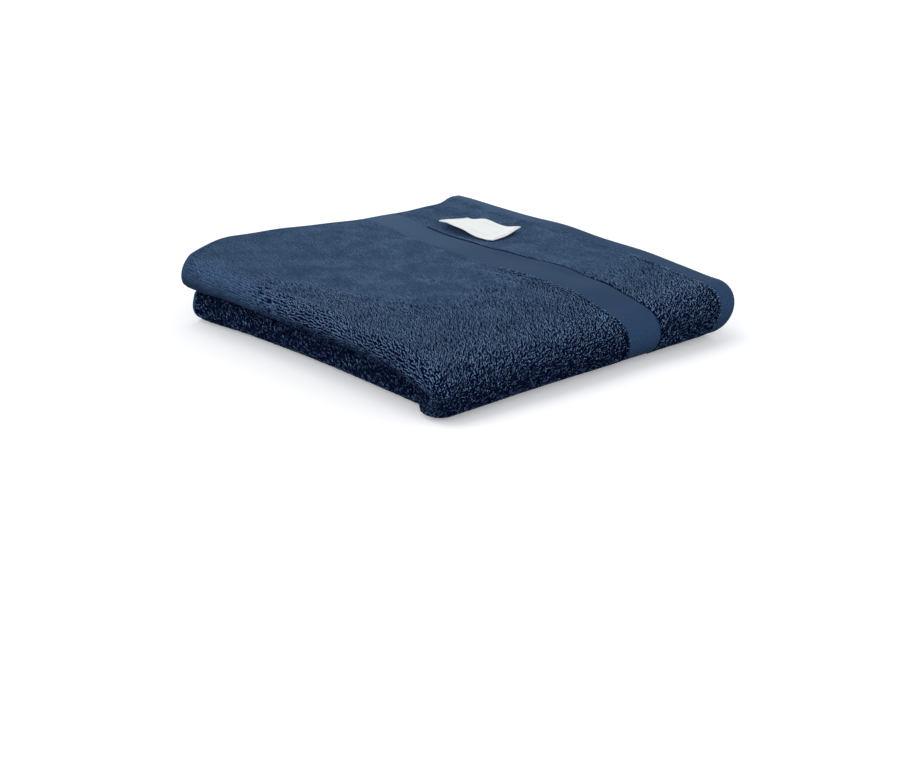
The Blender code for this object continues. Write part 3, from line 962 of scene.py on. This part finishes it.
# painted shade: a row of dark strands along the band's far edge, sunk where the terry rises from it,
# standing for the shadow in the groove there
bandGrooveShade = {
    "across": (40 * mm, 262 * mm),
    "past": 0.1 * mm,
    "wobble": 0.25 * mm,
    "wobbleSize": 30 * mm,
    "pitch": 2.0 * mm,
    "length": 2.3 * mm,
    "half": 0.5 * mm,
    "height": 0.55 * mm,
    "thick": 0.5,
    "tone": (-0.2, 0.0, 0.0, -0.2),
}


def makeBandGrooveShade():
    t = bandGrooveShade
    row, half = np.arange(*t["across"], t["pitch"]), cloth["bandThick"] / 2
    s = cloth["bandStart"] + t["past"] + t["wobble"] * drift(row, row, t["wobbleSize"], seed=9)

    def at(along, up, sideways):
        return foldCloth(s + sideways * t["half"], row + along * t["length"], half + up * t["height"])

    tone = [np.full(row.size, level) for level in t["tone"]]
    return strands("bandGrooveShadeStrands", at, np.full(row.size, t["thick"]), tone, loopsMaterial, -1)


stitchPieces = [*makeStitches(), makeBandGrooveShade()]

labelTape = {
    "length": 48 * mm,
    "width": 25 * mm,
    "half": 0.2 * mm,  # its thickness
    "station": 46 * mm,  # of its middle
    "across": 66 * mm,
    "tilt": math.radians(3),
    "lift": 1.1 * mm,  # over the terry
    "humps": [  # towards the band, towards the long bend, reaches, rise
        (12.5 * mm, -18 * mm, 9 * mm, 11 * mm, 3.6 * mm),
        (12.5 * mm, -3 * mm, 8 * mm, 9 * mm, 2.5 * mm),
        (-12.5 * mm, -6 * mm, 9 * mm, 9 * mm, 1.3 * mm),
        (-12.5 * mm, 24 * mm, 10 * mm, 9 * mm, 2.6 * mm),
    ],
    "step": 0.8 * mm,
    "turned": 5 * mm,  # of each short end, folded under
    "seam": 1.6 * mm,  # from each short end
    "seamMargin": (1 * mm, 2 * mm),
    "stitchPitch": 2.2 * mm,
    "stitchLength": 1.7 * mm,
    "thread": 0.2 * mm,
    "threadTone": 0.5,
}


def layLabel(u, v, n):  # u towards the band, v towards the long bend, n above the tape's middle
    t = labelTape
    station = t["station"] + u * math.cos(t["tilt"]) - v * math.sin(t["tilt"])
    across = t["across"] + u * math.sin(t["tilt"]) + v * math.cos(t["tilt"])
    return foldCloth(station, across, terryHalf + t["lift"] + humps(t["humps"], u, v) + n)


def makeLabel():
    t = labelTape
    us, vs = (np.linspace(-size / 2, size / 2, round(size / t["step"]) + 1)
              for size in (t["width"], t["length"]))
    u, v = (g.ravel() for g in np.meshgrid(us, vs, indexing="ij"))
    turn = t["length"] / 2 - t["turned"]
    doubled = ramp(np.abs(v), turn - t["step"], turn)
    faces = [layLabel(u, v, t["half"]), layLabel(u, v, -t["half"] * (1 + doubled))]
    made = meshFrom("labelTape", np.concatenate(faces), np.concatenate(slabCorners(len(us), len(vs))), 4,
                    np.tile(np.stack([u, v], axis=-1), (2, 1)))
    made.data.materials.append(tapeMaterial)
    return made


def makeLabelStitches():
    t, (before, after) = labelTape, labelTape["seamMargin"]
    row = np.arange(-t["width"] / 2 + before, t["width"] / 2 - after, t["stitchPitch"])
    u, seam = np.tile(row, 2), t["length"] / 2 - t["seam"]
    v = np.repeat([-seam, seam], row.size)

    def at(along, up, sideways):
        n = t["half"] + up * t["thread"]
        return layLabel(u + along * t["stitchLength"], v + sideways * t["thread"], n)

    tone = [np.full(u.size, t["threadTone"])] * 4
    return strands("labelStitches", at, np.full(u.size, 1.0), tone, whiteThread)


labelPiece, labelStitches = makeLabel(), makeLabelStitches()
print("label laid")

# what stands for what
for piece in [clothPiece, *pilePieces, *stitchPieces]:
    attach(piece, "root")
for piece in (labelPiece, labelStitches):
    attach(piece, "root")
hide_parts("towel")
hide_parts("label")

studio = {
    "floor": "f4f4f4",
    "floorGlow": 0.25,
    "floorSize": 24,
    "backdropSize": 14,
    "sunFrom": (-0.06, 0.40, 0.91),
    "sunAngle": math.radians(40),
    "sunPower": 0.75,
    "sky": [(0.0, "dce4f6"), (0.7, "ffffff")],  # colour of the soft light, from eye level upwards
    "zenith": 0.16,  # how bright the soft light is overhead, at eye level and from below
    "horizon": 2.20,
    "below": 0.02,
    "belowFrom": -0.05,
    "softFrom": (-0.7, -0.5, 0.0),  # the side that it mostly comes from
    "softLean": 0.15,
}


def makeStudio():
    bpy.ops.mesh.primitive_plane_add(size=studio["floorSize"])
    floor = bpy.context.object
    floor.name = "studioFloor"
    made, tree = newMaterial("matt white floor")
    matt = addNode(tree, "ShaderNodeBsdfDiffuse", {"Color": toLinear(studio["floor"])})
    glow = addNode(tree, "ShaderNodeEmission", {"Strength": studio["floorGlow"]})
    closeMaterial(tree, addNode(tree, "ShaderNodeAddShader", {0: matt.outputs[0], 1: glow.outputs[0]}))
    floor.data.materials.append(made)

    bpy.ops.mesh.primitive_uv_sphere_add(radius=studio["backdropSize"])
    backdrop = bpy.context.object
    backdrop.name = "studioBackdrop"
    made, tree = newMaterial("white backdrop")
    closeMaterial(tree, addNode(tree, "ShaderNodeEmission", {"Strength": 1.0}))
    backdrop.data.materials.append(made)
    for piece in (floor, backdrop):  # they throw no light back: the soft light below stands for that
        piece.visible_diffuse = piece.visible_glossy = False
    backdrop.visible_shadow = False

    world = bpy.data.worlds.new("studio")
    bpy.context.scene.world = world
    world.use_nodes = True
    tree = world.node_tree
    place = addNode(tree, "ShaderNodeTexCoord")
    parts = addNode(tree, "ShaderNodeSeparateXYZ", {0: place.outputs["Generated"]})
    above = addNode(tree, "ShaderNodeMapRange", {
        "Value": parts.outputs["Z"], "From Min": 0.0, "From Max": 1.0,
        "To Min": studio["horizon"], "To Max": studio["zenith"]})
    isUp = addNode(tree, "ShaderNodeMapRange", {
        "Value": parts.outputs["Z"], "From Min": studio["belowFrom"], "From Max": 0.0})
    side = addNode(tree, "ShaderNodeVectorMath", {
        0: place.outputs["Generated"], 1: studio["softFrom"]}, operation="DOT_PRODUCT")
    share = addNode(tree, "ShaderNodeMath", {
        0: side.outputs["Value"], 1: studio["softLean"], 2: 1.0}, operation="MULTIPLY_ADD")
    leaning = addNode(tree, "ShaderNodeMath", {
        0: share.outputs[0], 1: above.outputs["Result"]}, operation="MULTIPLY")
    level = addNode(tree, "ShaderNodeMix", {
        "Factor": isUp.outputs["Result"], "A": studio["below"], "B": leaning.outputs[0]},
        data_type="FLOAT")
    colour = addNode(tree, "ShaderNodeValToRGB", {"Fac": parts.outputs["Z"]})
    setRamp(colour, studio["sky"])
    tree.links.new(level.outputs["Result"], tree.nodes["Background"].inputs["Strength"])
    tree.links.new(colour.outputs["Color"], tree.nodes["Background"].inputs["Color"])

    sun = bpy.data.lights.new("softSun", "SUN")
    sun.energy, sun.angle = studio["sunPower"], studio["sunAngle"]
    lamp = bpy.data.objects.new("softSun", sun)
    lamp.rotation_euler = Vector(studio["sunFrom"]).to_track_quat("Z", "Y").to_euler()
    bpy.context.scene.collection.objects.link(lamp)


view = {
    "azimuth": -41.42,  # degrees
    "elevation": 19.65,
    "target": (-0.0688, -0.0756, 0.0),
    "distance": 1.0481,
    "lens": 77.64,  # mm, and so is the sensor
    "sensor": 36,
}


def makeCamera():
    a, e = math.radians(view["azimuth"]), math.radians(view["elevation"])
    back = Vector((math.sin(a) * math.cos(e), -math.cos(a) * math.cos(e), math.sin(e)))
    data = bpy.data.cameras.new("camera")
    data.lens, data.sensor_width, data.sensor_fit = view["lens"], view["sensor"], "HORIZONTAL"
    made = bpy.data.objects.new("camera", data)
    made.location = Vector(view["target"]) + back * view["distance"]
    made.rotation_euler = (-back).to_track_quat("-Z", "Y").to_euler()
    bpy.context.scene.collection.objects.link(made)
    bpy.context.scene.camera = made


makeStudio()
makeCamera()
bpy.context.scene.view_settings.view_transform = "Standard"
print("studio and camera ready")
